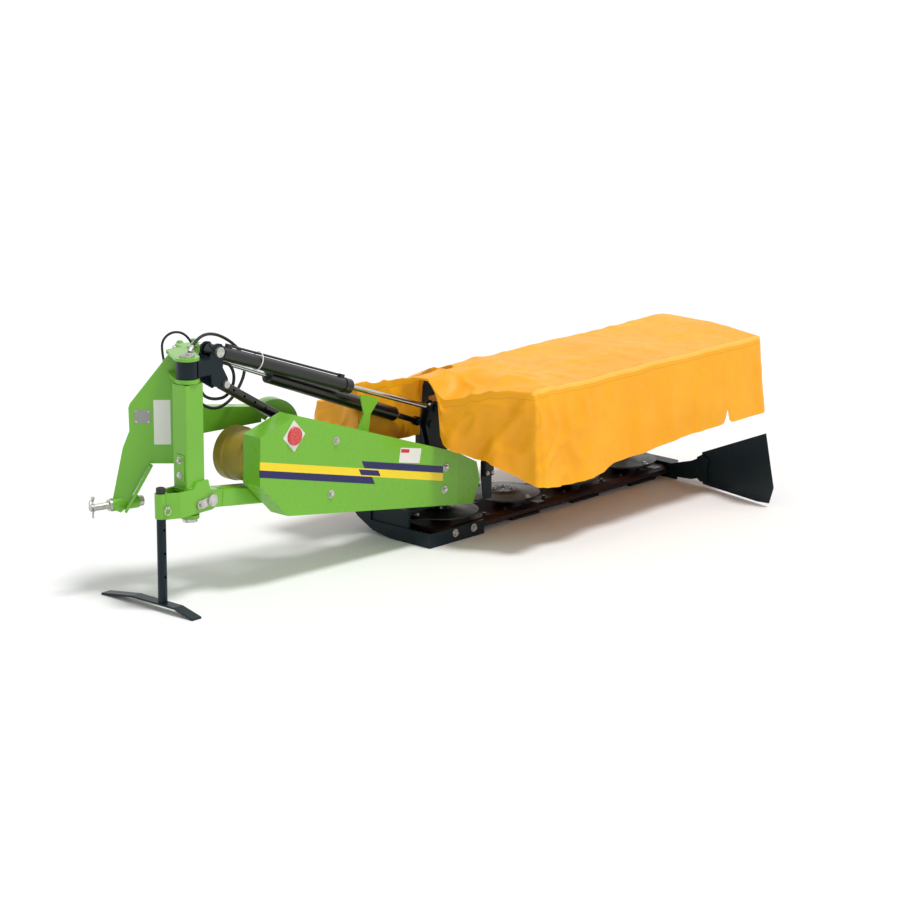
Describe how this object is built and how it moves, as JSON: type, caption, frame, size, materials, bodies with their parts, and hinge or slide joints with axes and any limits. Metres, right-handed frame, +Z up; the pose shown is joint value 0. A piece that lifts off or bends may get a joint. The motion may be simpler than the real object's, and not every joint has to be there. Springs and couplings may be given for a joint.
{
  "type": "disc mower",
  "caption": "Rear three-point disc mower with side arm, belt drive, canvas guard and swath board, parked on its stand.",
  "frame": {"origin": "centre of the footprint box at floor level, the drive and hose pieces included", "axes": "+X outwards along the cutter bar, +Y towards the tractor, +Z up"},
  "size_m": [3.2022, 1.182, 1.0854],
  "materials": {
    "green_paint": "gloss",
    "slate_paint": "satin",
    "black_paint": "satin",
    "black_plastic": "matte",
    "black_rubber": "matte",
    "olive_plastic": "matte",
    "zinc": "satin",
    "bright_steel": "polished",
    "disc_steel": "satin",
    "maroon_paint": "satin",
    "white_plate": "gloss",
    "red_lens": "gloss",
    "canvas": "matte"
  },
  "bodies": {
    "headstock": {"headstock_frame": "green_paint", "gooseneck": "green_paint", "top_link_clevis": "green_paint", "hitch_pins": "zinc", "hose_left": "black_rubber", "left_fittings": "zinc"},
    "swing_frame": {"mast": "green_paint", "foot_bracket": "green_paint", "head_bracket": "slate_paint", "frame_pins": "zinc", "hose_over": "black_rubber", "hose_inner": "black_rubber"},
    "stand": {"stand_leg": "slate_paint", "stand_cap": "black_plastic"},
    "arm": {"arm_beam": "green_paint", "arm_pins": "zinc", "belt_guard": "green_paint", "guard_back": "slate_paint", "pto_bell": "olive_plastic", "input_housing": "slate_paint", "input_shaft": "bright_steel", "reflector_plate": "white_plate", "reflector": "red_lens", "guard_strap": "green_paint"},
    "lift_barrel": {"lift_barrel": "black_paint"},
    "lift_rod": {"lift_rod": "bright_steel"},
    "float_rod": {"float_rod": "bright_steel"},
    "float_can": {"float_can": "black_paint"},
    "stay_tube": {"stay_tube": "black_paint"},
    "stay_rod": {"stay_rod": "slate_paint"},
    "cutter_unit": {"hinge_frame": "slate_paint", "lever": "slate_paint", "gearbox": "slate_paint", "cutter_bar": "maroon_paint", "skids": "black_paint", "inner_shoe": "slate_paint", "outer_shoe": "slate_paint", "swath_board": "slate_paint", "cover_frame": "slate_paint", "canvas_cover": "canvas", "end_plate": "slate_paint", "end_cover": "black_plastic"},
    "disc_1": {"disc_1": "disc_steel"},
    "disc_2": {"disc_2": "disc_steel"},
    "disc_3": {"disc_3": "disc_steel"},
    "disc_4": {"disc_4": "disc_steel"}
  },
  "joints": [
    {"name": "swing", "type": "hinge", "parent": "headstock", "child": "swing_frame", "pos_m": [-1.35592, 0.23897, 0.64], "axis": [0, 0, 1], "range_deg": [-35, 0]},
    {"name": "arm_lift", "type": "hinge", "parent": "swing_frame", "child": "arm", "pos_m": [-1.28892, 0.23897, 0.423], "axis": [0, -1, 0], "range_deg": [-5, 30]},
    {"name": "bar_fold", "type": "hinge", "parent": "arm", "child": "cutter_unit", "pos_m": [0.10908, 0.23897, 0.238], "axis": [0, -1, 0], "range_deg": [-12, 30]},
    {"name": "stand_slide", "type": "slide", "parent": "swing_frame", "child": "stand", "axis": [0, 0, 1], "range_m": [0, 0.291]},
    {"name": "lift_pivot", "type": "hinge", "parent": "swing_frame", "child": "lift_barrel", "pos_m": [-1.22592, 0.23097, 1.018], "axis": [0, -1, 0], "range_deg": [-5.19, 29.66]},
    {"name": "lift_slide", "type": "slide", "parent": "lift_barrel", "child": "lift_rod", "axis": [0.9404, 0, -0.34], "range_m": [-0.3122, 0.0537]},
    {"name": "float_pivot", "type": "hinge", "parent": "swing_frame", "child": "float_rod", "pos_m": [-1.22092, 0.29497, 0.985], "axis": [0, -1, 0], "range_deg": [-5.16, 29.46]},
    {"name": "float_slide", "type": "slide", "parent": "float_rod", "child": "float_can", "axis": [0.93, 0, -0.3675], "range_m": [-0.2953, 0.0509]},
    {"name": "stay_pivot", "type": "hinge", "parent": "swing_frame", "child": "stay_tube", "pos_m": [-1.19092, 0.23897, 0.88], "axis": [0, -1, 0], "range_deg": [-4.93, 28.08]},
    {"name": "stay_slide", "type": "slide", "parent": "stay_tube", "child": "stay_rod", "axis": [0.8589, 0, -0.5122], "range_m": [-0.2422, 0.042]},
    {"name": "disc_1_spin", "type": "hinge", "parent": "cutter_unit", "child": "disc_1", "pos_m": [0.12908, 0.25397, 0.09], "axis": [0, 0, 1], "continuous": true},
    {"name": "disc_2_spin", "type": "hinge", "parent": "cutter_unit", "child": "disc_2", "pos_m": [0.52908, 0.25397, 0.09], "axis": [0, 0, 1], "continuous": true},
    {"name": "disc_3_spin", "type": "hinge", "parent": "cutter_unit", "child": "disc_3", "pos_m": [0.92908, 0.25397, 0.09], "axis": [0, 0, 1], "continuous": true},
    {"name": "disc_4_spin", "type": "hinge", "parent": "cutter_unit", "child": "disc_4", "pos_m": [1.32908, 0.25397, 0.09], "axis": [0, 0, 1], "continuous": true}
  ],
  "couplings": [
    {"joint": "lift_pivot", "follows": "arm_lift", "ratio": 0.9785},
    {"joint": "lift_slide", "follows": "arm_lift", "m_per_rad": -0.5925},
    {"joint": "float_pivot", "follows": "arm_lift", "ratio": 0.9721},
    {"joint": "float_slide", "follows": "arm_lift", "m_per_rad": -0.5602},
    {"joint": "stay_pivot", "follows": "arm_lift", "ratio": 0.9259},
    {"joint": "stay_slide", "follows": "arm_lift", "m_per_rad": -0.4588},
    {"joint": "disc_2_spin", "follows": "disc_1_spin", "ratio": -1},
    {"joint": "disc_3_spin", "follows": "disc_1_spin", "ratio": 1},
    {"joint": "disc_4_spin", "follows": "disc_1_spin", "ratio": -1}
  ]
}
